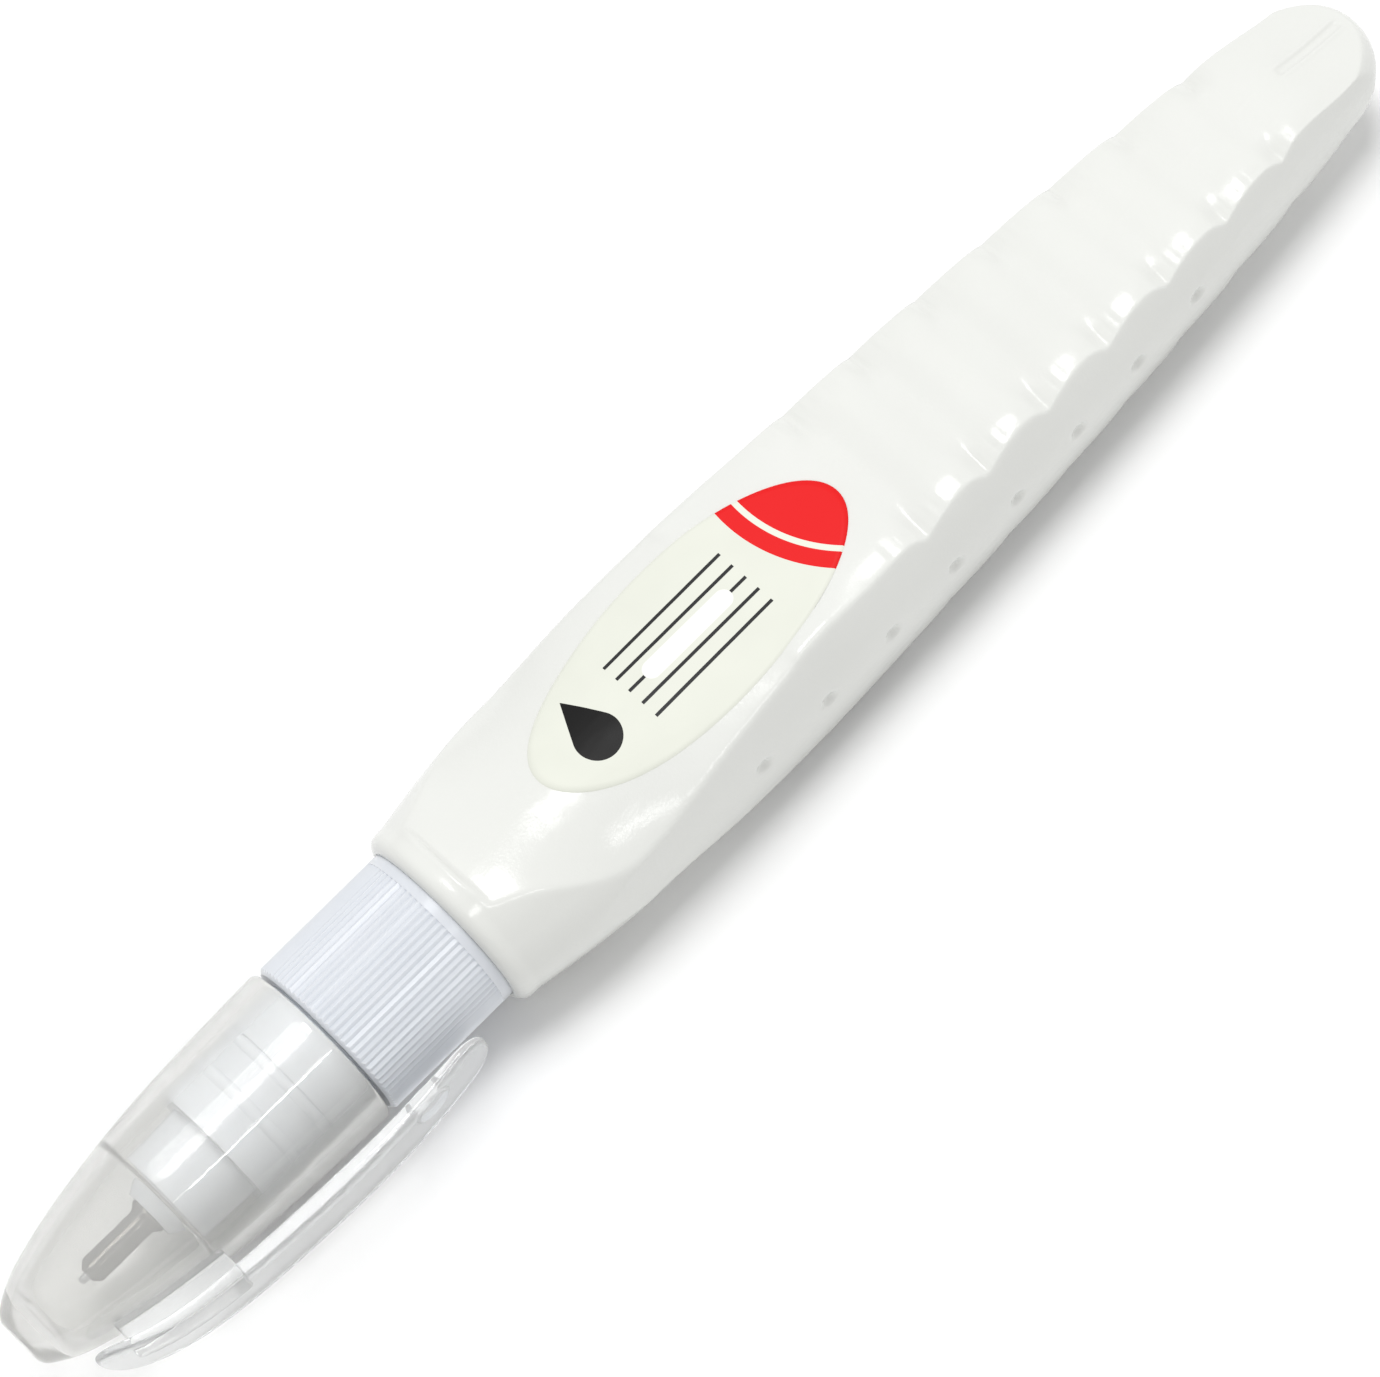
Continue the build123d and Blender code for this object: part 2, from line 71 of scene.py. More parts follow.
def cad_surface(node):
    """The CAD node's surface in millimetres, for finding points on it with rays."""
    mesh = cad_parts[node].data
    points = [v.co / MM for v in mesh.vertices]
    return BVHTree.FromPolygons(points, [p.vertices for p in mesh.polygons])


# Rings of points on the CAD bottle, found by rays from outside: the round lip, the body and the domed tail
bottle_columns = 224
lip_rings = 9
lip_radius = 1.0
lip_start_angle = math.radians(10)
body_stations = 340
dome_rings = 24
dome_length = 6.5
dome_end_angle = math.radians(85)
cast_radius = 20.0
bottle_surface = cad_surface("bottle")
bottle_low, bottle_high = [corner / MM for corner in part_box("bottle")]
lip_angles = np.linspace(lip_start_angle, math.pi / 2, lip_rings)
lip_x = bottle_low.x + lip_radius * (1 - np.cos(lip_angles))
dome_angles = np.linspace(0, dome_end_angle, dome_rings)
dome_x = bottle_high.x - dome_length * (1 - np.sin(dome_angles))
body_x = np.linspace(lip_x[-1], dome_x[0], body_stations)[1:-1]
ring_x = np.concatenate([lip_x, body_x, dome_x])
turns = np.arange(bottle_columns) * math.tau / bottle_columns
outward = np.stack([np.cos(turns), np.sin(turns)], axis=1)
skin = np.zeros((len(ring_x), bottle_columns, 3))
for ring, x in enumerate(ring_x):
    for column, (y, z) in enumerate(outward):
        start = Vector((x, y * cast_radius, z * cast_radius))
        skin[ring, column] = bottle_surface.ray_cast(start, Vector((0, -y, -z)))[0]

# The grooved faces are crowned towards their edges
crown_drop = 0.35
crown_width = 2.2
crown_start = bottle_low.x + 31.95
crown_end = bottle_high.x - 1.55
crown_fade = 4.0
face_margin = 0.06
front_middle = bottle_columns // 4
height = np.abs(skin[..., 2])
across = np.abs(skin[..., 1])
face_height = height[:, front_middle][:, None]
face_edge = np.where(height > face_height - face_margin, across, 0).max(axis=1)[:, None]
from_ends = np.minimum(ring_x - crown_start, crown_end - ring_x)[:, None]
grooved = np.clip(from_ends / crown_fade, 0, 1)
fall = crown_drop * grooved * np.clip(1 - (face_edge - across) / crown_width, 0, 1) ** 2
crowned = np.where(grooved > 0, np.minimum(height, face_height - fall), height)
skin[..., 2] = np.sign(skin[..., 2]) * crowned

# A bell curve is cut off at this many times its softness
bell_reach = 3


def blur(values, softness, step, axis):
    """The values averaged along one axis with a bell curve. Axis 1 is closed on itself, axis 0 ends."""
    reach = math.ceil(bell_reach * (softness / step))
    distances = np.arange(-reach, reach + 1) * step
    weights = np.exp(-((distances / softness) ** 2) / 2)
    margins = [(reach, reach) if side == axis else (0, 0) for side in range(values.ndim)]
    padded = np.pad(values, margins, "wrap" if axis == 1 else "edge")
    return np.apply_along_axis(np.convolve, axis, padded, weights / weights.sum(), "valid")


# Grooves are soft in the middle of the faces and sharp at their edges
groove_softness = 1.0
soft_share = 0.5
sharp_share = 0.85
body = slice(lip_rings, len(ring_x) - dome_rings)
body_step = (dome_x[0] - lip_x[-1]) / body_stations
sharpness = np.clip((across / face_edge - soft_share) / (sharp_share - soft_share), 0, 1)
softened = (1 - sharpness) * grooved * (height > face_height / 2)
smooth = skin.copy()
smooth[body] = blur(skin[body], groove_softness, body_step, 0)
skin += (smooth - skin) * softened[..., None]

# Moulded creases are rounded, apart from the row of dimples
crease_softness = 0.16
dimple_row_half_height = 1.3
column_step = math.tau * bottle_high.y / bottle_columns
rounded = blur(skin, crease_softness, column_step, 1)
skin += (rounded - skin) * np.clip(np.abs(skin[..., 2:]) / dimple_row_half_height - 1, 0, 1)

# Dimples are deeper in the real wall than in the CAD solid
dimple_start = bottle_low.x + 22.797
dimple_pitch = 6.41
dimple_count = 8
dimple_extra_depth = 0.16
dimple_core = 0.5
sink = np.zeros(skin.shape[:2])
for dimple in range(dimple_count):
    from_dimple = np.hypot(skin[..., 0] - dimple_start - dimple * dimple_pitch, skin[..., 2])
    sink += dimple_extra_depth * np.exp(-((from_dimple / dimple_core) ** 2))
skin[..., 1] -= np.sign(skin[..., 1]) * sink

# Parting line along the front and back middle, and the pinch-off scar between two ridges at the tail
line_height = 0.012
line_width = 0.16
scar_start = bottle_high.x - 7.45
scar_end = bottle_high.x - 1.45
scar_half_width = 0.25
scar_depth = 0.12
ridge_height = 0.07
ridge_width = 0.22
across = np.abs(skin[..., 1])
line = line_height * np.exp(-((across / line_width) ** 2))
scarred = np.clip((skin[..., 0] - scar_start) / ridge_width, 0, 1)
scarred *= np.clip((scar_end - skin[..., 0]) / ridge_width, 0, 1) * (skin[..., 2] > 0)
pit = scar_depth * np.clip((scar_half_width - across) / ridge_width + 1, 0, 1)
ridge = ridge_height * np.exp(-(((across - scar_half_width) / ridge_width - 1) ** 2))
lift = line * (1 - scarred) + scarred * (ridge - pit)
lift[:lip_rings] = 0
skin[..., 1:] += outward * lift[..., None]


def new_mesh(name, points, faces):
    """A smooth mesh object from points in millimetres."""
    mesh = bpy.data.meshes.new(name)
    mesh.from_pydata([tuple(p) for p in np.asarray(points) * MM], [], faces)
    mesh.polygons.foreach_set("use_smooth", [True] * len(mesh.polygons))
    mesh.validate()
    piece = bpy.data.objects.new(name, mesh)
    bpy.context.scene.collection.objects.link(piece)
    return piece


def tube_faces(rings, columns):
    """Quads between closed rings of points that follow each other."""
    faces = []
    for first in range(0, (rings - 1) * columns, columns):
        for column in range(columns):
            after = (column + 1) % columns
            faces.append((first + column, first + after, first + columns + after, first + columns + column))
    return faces


# Neck and recess inside the mouth, then the skin and the closed tail
recess_radius = 6.61
recess_depth = 0.9
neck_radius = 5.61
neck_depth = 3.0
neck_profile = (
    (neck_depth, neck_radius),
    (recess_depth, neck_radius),
    (recess_depth, recess_radius),
    (0, recess_radius),
)
neck_rings = []
for depth, radius in neck_profile:
    neck_x = np.full((bottle_columns, 1), bottle_low.x + depth)
    neck_rings.append(np.concatenate([neck_x, outward * radius], axis=1))
bottle_points = np.concatenate([*neck_rings, *skin, [(bottle_high.x, 0, 0)]])
tail_tip = len(bottle_points) - 1
last_ring = tail_tip - bottle_columns
bottle_faces = tube_faces(len(neck_rings) + len(ring_x), bottle_columns)
for column in range(bottle_columns):
    bottle_faces.append((last_ring + column, last_ring + (column + 1) % bottle_columns, tail_tip))
bottle_faces.append(tuple(reversed(range(bottle_columns))))
bottle = new_mesh("bottle_skin", bottle_points, bottle_faces)
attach(bottle, "pen_body")
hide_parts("bottle")


def linear(hex_colour):
    """Linear RGBA of an sRGB hex colour."""
    shares = [int(hex_colour[i : i + 2], 16) / 255 for i in (0, 2, 4)]
    return [s / 12.92 if s <= 0.04045 else ((s + 0.055) / 1.055) ** 2.4 for s in shares] + [1.0]


def add_node(tree, kind, settings=None, **inputs):
    """Adds a shader node. Inputs are values or sockets to link, by socket name or, as in _0, by place."""
    node = tree.nodes.new(kind)
    for name, value in (settings or {}).items():
        setattr(node, name, value)
    for name, value in inputs.items():
        socket = node.inputs[int(name[1:]) if name[1:].isdigit() else name.replace("_", " ")]
        if isinstance(value, bpy.types.NodeSocket):
            tree.links.new(value, socket)
        else:
            socket.default_value = value
    return node


def new_material(name, **sockets):
    """A material with one Principled shader, and the sockets that are even all over set on it."""
    material = bpy.data.materials.new(name)
    material.use_nodes = True
    shader = material.node_tree.nodes["Principled BSDF"]
    for socket, value in sockets.items():
        shader.inputs[socket.replace("_", " ")].default_value = value
    return material, material.node_tree, shader


colour_mix = {"data_type": "RGBA"}


def vary(tree, shader, pattern, colours, roughness):
    """Lets a pattern sway the shader between two hex colours and between two roughnesses."""
    first, second = [linear(colour) for colour in colours]
    tint = add_node(tree, "ShaderNodeMix", colour_mix, Factor=pattern, A=first, B=second)
    gloss = add_node(tree, "ShaderNodeMapRange", Value=pattern, To_Min=roughness[0], To_Max=roughness[1])
    tree.links.new(tint.outputs["Result"], shader.inputs["Base Color"])
    tree.links.new(gloss.outputs["Result"], shader.inputs["Roughness"])


# Blown polyethylene: satin and faintly milky. The grain of the blasted mould is drawn coarser than it is,
# so that it shows
mould_grain = 0.22
wall_cloud = 9.0
material, tree, shader = new_material(
    "polyethylene_blown_satin",
    IOR=1.51,
    Subsurface_Weight=0.12,
    Subsurface_Scale=0.8 * MM,
    Subsurface_Radius=(1, 1, 1),
)
place = add_node(tree, "ShaderNodeTexCoord").outputs["Object"]
grain = add_node(tree, "ShaderNodeTexNoise", Vector=place, Scale=1 / (mould_grain * MM), Detail=3.0)
cloud = add_node(tree, "ShaderNodeTexNoise", Vector=place, Scale=1 / (wall_cloud * MM), Detail=2.0)
vary(tree, shader, cloud.outputs["Fac"], colours=("E2E3DF", "E8E9E5"), roughness=(0.095, 0.245))
bump = add_node(tree, "ShaderNodeBump", Height=grain.outputs["Fac"], Strength=0.4, Distance=0.02 * MM)
tree.links.new(bump.outputs["Normal"], shader.inputs["Normal"])
bottle.data.materials.append(material)

# Mixing ball: a loose steel bearing ball that stirs the fluid when the pen is shaken.
# It is ground and polished, and runs free in the bottle.


def dress(node, material):
    """Puts a material on a CAD node that keeps its own shape."""
    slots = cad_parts[node].data.materials
    slots.clear()
    slots.append(material)


# Bearing steel: a bright polish with a faint cloudy haze
polish_cloud = 0.4
material, tree, shader = new_material("bearing_steel_polished", Metallic=1.0)
place = add_node(tree, "ShaderNodeTexCoord").outputs["Object"]
cloud = add_node(tree, "ShaderNodeTexNoise", Vector=place, Scale=1 / (polish_cloud * MM), Detail=4.0)
vary(tree, shader, cloud.outputs["Fac"], colours=("B9BBBD", "D2D3D4"), roughness=(0.06, 0.16))
dress("mixing_ball", material)

# Front label: an oval sticker of coated cream film, die-cut and pressed on the front face by hand.
# Its print is a generic one: ruled lines under a white stroke, a black drop and a red end with a pinstripe.
label_rings = 30
label_columns = 144
label_thickness = 0.1
label_edge = 0.12
label_low, label_high = [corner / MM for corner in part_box("front_label")]
label_middle = (label_low + label_high) / 2
label_half = (label_high - label_low) / 2


def on_front(x, y, above):
    """The point at a height above the bottle's front face."""
    face_point = bottle_surface.ray_cast(Vector((x, y, cast_radius)), Vector((0, 0, -1)))[0]
    return face_point + Vector((0, 0, above))


# Ovals from the middle to the rim of the film, and one on the bottle that closes its edge
flat_half = label_half - Vector((label_edge, label_edge, 0))
ovals = [(flat_half * share, label_thickness) for share in np.linspace(0, 1, label_rings)[1:]]
ovals.append((label_half, 0))
label_points = []
for oval_half, above in ovals:
    for turn in np.arange(label_columns) * math.tau / label_columns:
        x = label_middle.x + oval_half.x * math.cos(turn)
        y = label_middle.y + oval_half.y * math.sin(turn)
        label_points.append(on_front(x, y, above))
label_points.append(on_front(label_middle.x, label_middle.y, label_thickness))
label_faces = [tuple(reversed(face)) for face in tube_faces(len(ovals), label_columns)]
hub = len(label_points) - 1
label_faces += [(column, (column + 1) % label_columns, hub) for column in range(label_columns)]
label = new_mesh("front_label_film", label_points, label_faces)
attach(label, "pen_body")
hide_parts("front_label")

# Coated film: semi-gloss over the print, with the slight waviness of a hand-pressed sticker
film_wave = 3.0
rule_pitch = 1.3
rule_width = 0.26
rule_half_size = (5.6, 3.25, 1.0)
stroke_half_length = 3.4
stroke_half_width = 0.72
drop_place = (-9.3, -0.7, 0.0)
drop_radius = 1.75
drop_height = 3.9
red_place = (20.0, 3.5, 0.0)
red_radius = 12.6
pinstripe_radius = 11.1
pinstripe_width = 0.45
math_node = "ShaderNodeMath"
vector_node = "ShaderNodeVectorMath"
axes_node = "ShaderNodeSeparateXYZ"
less = {"operation": "LESS_THAN"}
greater = {"operation": "GREATER_THAN"}
equal = {"operation": "COMPARE"}
times = {"operation": "MULTIPLY"}
minus = {"operation": "SUBTRACT"}
largest = {"operation": "MAXIMUM"}
positive = {"operation": "ABSOLUTE"}
length = {"operation": "LENGTH"}
distance = {"operation": "DISTANCE"}
zigzag = {"operation": "PINGPONG"}
material, tree, shader = new_material("film_label_coated", IOR=1.46)

# Places on the sheet in millimetres from its middle, flattened, and the same folded into one quarter
place = add_node(tree, "ShaderNodeTexCoord").outputs["Object"]
shift = add_node(tree, vector_node, minus, _0=place, _1=label_middle * MM).outputs[0]
sheet = add_node(tree, vector_node, times, _0=shift, _1=(1 / MM, 1 / MM, 0)).outputs[0]
folded = add_node(tree, vector_node, positive, _0=sheet).outputs[0]

# Ruled lines inside a box
sheet_axes = add_node(tree, axes_node, Vector=sheet).outputs
row = add_node(tree, math_node, zigzag, _0=sheet_axes["Y"], _1=rule_pitch / 2).outputs[0]
ruled = add_node(tree, math_node, less, _0=row, _1=rule_width / 2).outputs[0]
over = add_node(tree, vector_node, minus, _0=folded, _1=rule_half_size).outputs[0]
over_axes = add_node(tree, axes_node, Vector=over).outputs
over_most = add_node(tree, math_node, largest, _0=over_axes["X"], _1=over_axes["Y"]).outputs[0]
boxed = add_node(tree, math_node, less, _0=over_most, _1=0.0).outputs[0]
rules = add_node(tree, math_node, times, _0=ruled, _1=boxed).outputs[0]

# White stroke with round ends
beyond = add_node(tree, vector_node, minus, _0=folded, _1=(stroke_half_length, 0, 0)).outputs[0]
ended = add_node(tree, vector_node, largest, _0=beyond, _1=(0, 0, 0)).outputs[0]
from_stroke = add_node(tree, vector_node, length, _0=ended).outputs["Value"]
stroke = add_node(tree, math_node, less, _0=from_stroke, _1=stroke_half_width).outputs[0]

# Drop: a disc with the tangent cone on top of it
cone_slope = drop_radius / math.sqrt(drop_height**2 - drop_radius**2)
cone_base = drop_radius**2 / drop_height
drop_shift = add_node(tree, vector_node, minus, _0=sheet, _1=drop_place).outputs[0]
drop_axes = add_node(tree, axes_node, Vector=drop_shift).outputs
beside = add_node(tree, math_node, positive, _0=drop_axes["X"]).outputs[0]
below_top = add_node(tree, math_node, minus, _0=drop_height, _1=drop_axes["Y"]).outputs[0]
cone_width = add_node(tree, math_node, times, _0=below_top, _1=cone_slope).outputs[0]
in_cone = add_node(tree, math_node, less, _0=beside, _1=cone_width).outputs[0]
on_disc = add_node(tree, math_node, greater, _0=drop_axes["Y"], _1=cone_base).outputs[0]
cone = add_node(tree, math_node, times, _0=in_cone, _1=on_disc).outputs[0]
from_drop = add_node(tree, vector_node, distance, _0=sheet, _1=drop_place).outputs["Value"]
disc = add_node(tree, math_node, less, _0=from_drop, _1=drop_radius).outputs[0]
drop = add_node(tree, math_node, largest, _0=cone, _1=disc).outputs[0]

# Red end with a pinstripe
from_red = add_node(tree, vector_node, distance, _0=sheet, _1=red_place).outputs["Value"]
red_end = add_node(tree, math_node, less, _0=from_red, _1=red_radius).outputs[0]
striped = add_node(tree, math_node, equal, _0=from_red, _1=pinstripe_radius, _2=pinstripe_width / 2)
stripe = striped.outputs[0]

# The inks lie on the film in this order
inks = (
    (rules, "2A2A2C"),
    (stroke, "F4F4F0"),
    (drop, "060505"),
    (red_end, "E50E12"),
    (stripe, "E9EBDD"),
)
waviness = add_node(tree, "ShaderNodeTexNoise", Vector=place, Scale=1 / (film_wave * MM), Detail=1.0)
wave = waviness.outputs["Fac"]
film = add_node(tree, "ShaderNodeMix", colour_mix, Factor=wave, A=linear("E0E2D7"), B=linear("E6E8DD"))
print_colour = film.outputs["Result"]
for mask, colour in inks:
    layer = add_node(tree, "ShaderNodeMix", colour_mix, Factor=mask, A=print_colour, B=linear(colour))
    print_colour = layer.outputs["Result"]
tree.links.new(print_colour, shader.inputs["Base Color"])
gloss = add_node(tree, "ShaderNodeMapRange", Value=wave, To_Min=0.40, To_Max=0.52)
tree.links.new(gloss.outputs["Result"], shader.inputs["Roughness"])
bump = add_node(tree, "ShaderNodeBump", Height=wave, Strength=0.1, Distance=0.05 * MM)
tree.links.new(bump.outputs["Normal"], shader.inputs["Normal"])
label.data.materials.append(material)

# Nozzle: one moulding of bluish white polypropylene, with a ribbed collar, a stepped spigot for the cap
# and a plug that is pressed into the bottle's mouth.

# Moulded polypropylene: smooth gloss with a faint orange peel and slow changes of sheen.
# Light spreads in it, so that the ribs look soft
peel = 0.6
sheen_cloud = 4.0
material, tree, shader = new_material(
    "polypropylene_moulded_gloss",
    IOR=1.49,
    Subsurface_Weight=0.7,
    Subsurface_Scale=0.9 * MM,
    Subsurface_Radius=(1, 1, 1),
)
place = add_node(tree, "ShaderNodeTexCoord").outputs["Object"]
skin_peel = add_node(tree, "ShaderNodeTexNoise", Vector=place, Scale=1 / (peel * MM), Detail=2.0)
cloud = add_node(tree, "ShaderNodeTexNoise", Vector=place, Scale=1 / (sheen_cloud * MM), Detail=2.0)
vary(tree, shader, cloud.outputs["Fac"], colours=("D9DDE3", "DFE2E7"), roughness=(0.20, 0.30))
bump = add_node(tree, "ShaderNodeBump", Height=skin_peel.outputs["Fac"], Strength=0.1, Distance=0.02 * MM)
tree.links.new(bump.outputs["Normal"], shader.inputs["Normal"])
dress("nozzle_collar", material)

# Metal tip: a nickel silver tube turned from bar, drawn in at the end and flared where it stops
# on the nozzle. It is pressed into the nozzle's nose.

# Turned nickel silver: warm grey metal with tool rings round it, drawn coarser than they are,
# so that they show. Both tints are painted darker than the bare alloy, as painted shade for the
# dark surroundings that polished metal would mirror
tool_ring = 0.3
material, tree, shader = new_material("nickel_silver_turned", Metallic=1.0, Specular_Tint=linear("505050"))
place = add_node(tree, "ShaderNodeTexCoord").outputs["Object"]
rings = add_node(tree, "ShaderNodeTexWave", Vector=place, Scale=1 / (tool_ring * MM) / math.tau)
vary(tree, shader, rings.outputs["Fac"], colours=("6C6964", "7A7771"), roughness=(0.10, 0.16))
bump = add_node(tree, "ShaderNodeBump", Height=rings.outputs["Fac"], Strength=0.02, Distance=0.005 * MM)
tree.links.new(bump.outputs["Normal"], shader.inputs["Normal"])
dress("metal_tip", material)

# Valve needle: a stainless wire with a rounded point.
# It is ground to size and pressed into the rod.

# Ground stainless steel: cool grey with lengthwise grinding lines
grind_length = 2.0
grind_width = 0.05
material, tree, shader = new_material("stainless_steel_ground", Metallic=1.0)
place = add_node(tree, "ShaderNodeTexCoord").outputs["Object"]
stretch = (1 / (grind_length * MM), 1 / (grind_width * MM), 1 / (grind_width * MM))
streaks = add_node(tree, vector_node, times, _0=place, _1=stretch)
lines = add_node(tree, "ShaderNodeTexNoise", Vector=streaks.outputs[0], Scale=1.0, Detail=2.0)
vary(tree, shader, lines.outputs["Fac"], colours=("A4A6A8", "C6C8C9"), roughness=(0.15, 0.30))
dress("valve_needle", material)

# Valve rod and spring retainer: small white acetal mouldings in the nozzle's chamber.
# The rod slides and carries the needle, and the ported retainer is pressed in behind the spring.

# Moulded acetal: dense white with a dull natural gloss
acetal_cloud = 1.5
material, tree, shader = new_material("acetal_moulded", IOR=1.48)
place = add_node(tree, "ShaderNodeTexCoord").outputs["Object"]
cloud = add_node(tree, "ShaderNodeTexNoise", Vector=place, Scale=1 / (acetal_cloud * MM), Detail=2.0)
vary(tree, shader, cloud.outputs["Fac"], colours=("E9E8E2", "F1F0EB"), roughness=(0.32, 0.45))
dress("valve_rod", material)
dress("spring_retainer", material)

# Valve spring: stainless wire, cold wound in seven open turns between the rod and the retainer.
# It shortens as the needle is pressed in.
wire_radius = 0.17
wire_sides = 10
spring_turns = 7
turn_steps = 24
spring_low, spring_high = [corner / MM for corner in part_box("valve_spring")]
coil_radius = spring_high.y - wire_radius
coil_start = spring_low.x + wire_radius
coil_length = spring_high.x - spring_low.x - 2 * wire_radius
coil_shares = np.linspace(0, 1, spring_turns * turn_steps + 1)
along = np.array([1, 0, 0])
wire_points = []
for share in coil_shares:
    turn = share * spring_turns * math.tau
    out = np.array([0, math.cos(turn), math.sin(turn)])
    wire_middle = along * (coil_start + share * coil_length) + out * coil_radius
    for wire_turn in np.arange(wire_sides) * math.tau / wire_sides:
        from_middle = out * math.cos(wire_turn) + along * math.sin(wire_turn)
        wire_points.append(wire_middle + from_middle * wire_radius)
wire_faces = tube_faces(len(coil_shares), wire_sides)
wire_faces.append(tuple(reversed(range(wire_sides))))
wire_faces.append(tuple(range(len(wire_points) - wire_sides, len(wire_points))))
spring = new_mesh("valve_spring_wire", wire_points, wire_faces)
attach(spring, "pen_body")
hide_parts("valve_spring")
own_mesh(spring)

# Drawn stainless wire: bright with a faint mottle left by the die
die_mottle = 0.08
material, tree, shader = new_material("stainless_wire_drawn", Metallic=1.0)
place = add_node(tree, "ShaderNodeTexCoord").outputs["Object"]
mottle = add_node(tree, "ShaderNodeTexNoise", Vector=place, Scale=1 / (die_mottle * MM), Detail=2.0)
vary(tree, shader, mottle.outputs["Fac"], colours=("AEB0B2", "CBCCCD"), roughness=(0.18, 0.28))
spring.data.materials.append(material)

# Cap: one moulding of natural polypropylene with its clip on a web, pushed over the tip on to the spigot.
# Its edges have the small radii of a mould, and the clip is a bowed leaf that thins towards its round ends.
cap_surface = cad_surface("cap")
cap_low, cap_high = [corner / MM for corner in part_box("cap")]

# Section of the shell on the CAD cap: outer wall from above, inner wall from the axis, then rounded corners
cap_columns = 112
profile_step = 0.05
profile_softness = 0.2
wall_margin = 0.02
upward = Vector((0, 0, 1))
outer, inner = [], []
for x in np.arange(cap_low.x + profile_step / 2, cap_high.x, profile_step):
    outside = cap_surface.ray_cast(Vector((x, 0, cast_radius)), -upward)[0]
    inside = cap_surface.ray_cast(Vector((x, 0, 0)), upward)[0]
    if outside is not None:
        outer.append((x, outside.z))
        if inside.z < outside.z - wall_margin:
            inner.append((x, inside.z))
outer_x, outer_radius = np.transpose(outer)
hollow_start = inner[0][0]
half_section = np.array([(cap_low.x, 0), *outer, *reversed(inner), (hollow_start, 0)])
section = np.concatenate([half_section, half_section[::-1] * (1, -1)])
lengths = np.concatenate([[0], np.cumsum(np.linalg.norm(np.diff(section, axis=0), axis=1))])
half_count = round(lengths[-1] / profile_step / 2)
places = np.linspace(0, lengths[-1], 2 * half_count, endpoint=False)
even = np.array([np.interp(places, lengths, section[:, axis]) for axis in (0, 1)])
soft = blur(even, profile_softness, profile_step, 1)[:, 1:half_count].T

# Only the points that the curve needs are kept, closer where it bends
longest_step = 0.8
sharpest_turn = math.radians(8)
headings = np.unwrap(np.arctan2(*np.diff(soft, axis=0).T))
bends = np.concatenate([[0, 0], np.cumsum(np.abs(np.diff(headings)))]) / sharpest_turn
bends += np.arange(len(soft)) * profile_step / longest_step
profile = soft[np.flatnonzero(np.diff(np.floor(bends), prepend=-1))]
turns = np.arange(cap_columns) * math.tau / cap_columns
shell_points = [(x, r * math.cos(turn), r * math.sin(turn)) for x, r in profile for turn in turns]
shell_points += [(cap_low.x, 0, 0), (hollow_start, 0, 0)]


def cosine_spread(start, end, count):
    """Places from start to end that lie closer together towards both ends."""
    return start + (end - start) * (1 - np.cos(np.linspace(0, math.pi, count))) / 2


def round_off(from_end, radius):
    """The share of its full size that a round edge has at a distance from its end."""
    return math.sqrt(1 - np.clip(1 - from_end / radius, 0, 1) ** 2)


# Clip leaf: its middle and its thickness are fitted to the CAD clip, beside the web and the nub
clip_start = cap_low.x + 2.65
clip_end = cap_high.x
clip_rings = 64
clip_columns = 32
clip_stations = 40
clip_end_skip = 0.7
clip_half_width = 2.2
clip_fill_share = 0.97
clip_squareness = 5.0
clip_end_edge = 0.4
beside_web = 1.5
curve_degree = 5
inward = Vector((0, 1, 0))
stations = np.linspace(clip_start + clip_end_skip, clip_end - clip_end_skip, clip_stations)
middles, half_thicknesses = [], []
for x in stations:
    outer_face = cap_surface.ray_cast(Vector((x, -cast_radius, beside_web)), inward)[0]
    inner_face = cap_surface.ray_cast(outer_face + inward * wall_margin, inward)[0]
    middles.append((outer_face.y + inner_face.y) / 2)
    half_thicknesses.append((inner_face.y - outer_face.y) / 2 * clip_fill_share)
leaf_middle = np.polynomial.Polynomial.fit(stations, middles, curve_degree)
leaf_half_thickness = np.polynomial.Polynomial.fit(stations, half_thicknesses, curve_degree)
clip_points = []
for x in cosine_spread(clip_start, clip_end, clip_rings + 2)[1:-1]:
    from_end = min(x - clip_start, clip_end - x)
    half_width = clip_half_width * round_off(from_end, clip_half_width)
    half_thickness = leaf_half_thickness(x) * round_off(from_end, clip_end_edge)
    for turn in np.arange(clip_columns) * math.tau / clip_columns:
        y, z = [math.copysign(abs(s) ** (2 / clip_squareness), s) for s in (math.cos(turn), math.sin(turn))]
        clip_points.append((x, leaf_middle(x) + half_thickness * y, half_width * z))
clip_points += [(x, leaf_middle(x), 0) for x in (clip_start, clip_end)]

# Web from the leaf's middle into the shell's wall
web_start = cap_low.x + 5.2
web_end = web_start + 8.6
web_half_width = 0.9
web_edge = 0.25
web_rings = 16
web_corners = 4
web_sink = 0.5
web_points = []
for x in cosine_spread(web_start, web_end, web_rings):
    from_end = min(x - web_start, web_end - x)
    half_width = web_half_width - web_edge * (1 - round_off(from_end, web_edge))
    in_wall = web_sink - np.interp(x, outer_x, outer_radius)
    in_leaf = leaf_middle(x)
    web_points += [(x, in_wall, -half_width), (x, in_wall, half_width)]
    web_points += [(x, in_leaf, half_width), (x, in_leaf, -half_width)]
for x in (web_start, web_end):
    web_points.append((x, (leaf_middle(x) - np.interp(x, outer_x, outer_radius)) / 2, 0))

